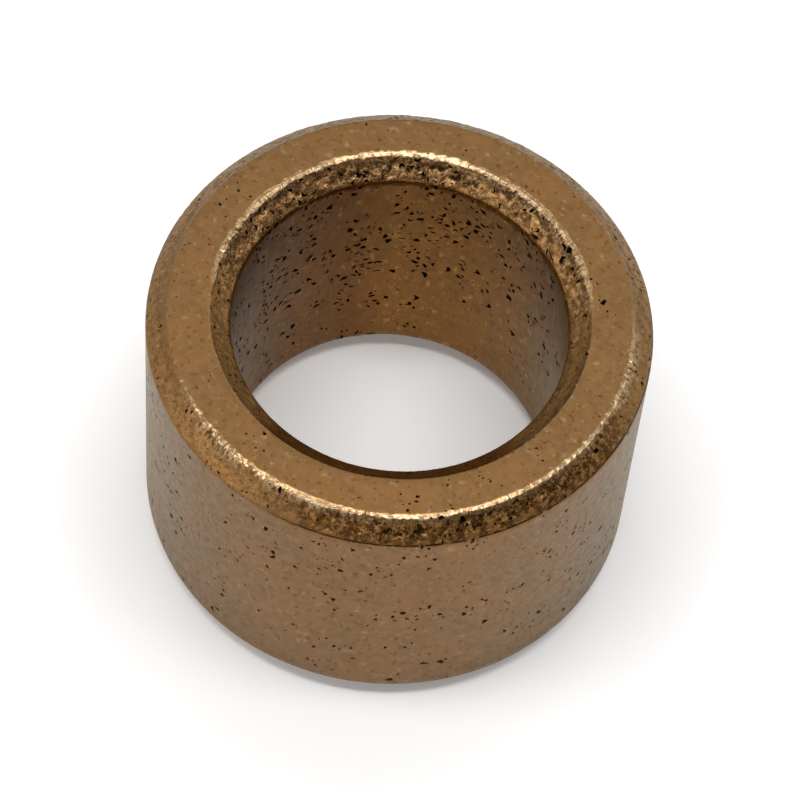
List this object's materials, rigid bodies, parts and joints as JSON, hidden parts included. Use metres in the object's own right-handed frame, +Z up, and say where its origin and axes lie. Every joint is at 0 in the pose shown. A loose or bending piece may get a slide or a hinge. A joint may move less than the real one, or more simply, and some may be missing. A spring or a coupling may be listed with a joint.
{
  "type": "sleeve bushing",
  "caption": "Plain cylindrical sleeve bushing of porous sintered bronze, with a through bore and bevelled edges at both ends.",
  "frame": {"origin": "centre of the lower end face, on the bore axis", "axes": "+Z up along the bore axis; the ring is the same all round it and the same end for end, so X and Y are any two directions across it"},
  "size_m": [0.018, 0.018, 0.012],
  "materials": {
    "sintered_bronze": "satin, porous"
  },
  "bodies": {
    "root": {"sleeve": "sintered_bronze"}
  },
  "joints": []
}
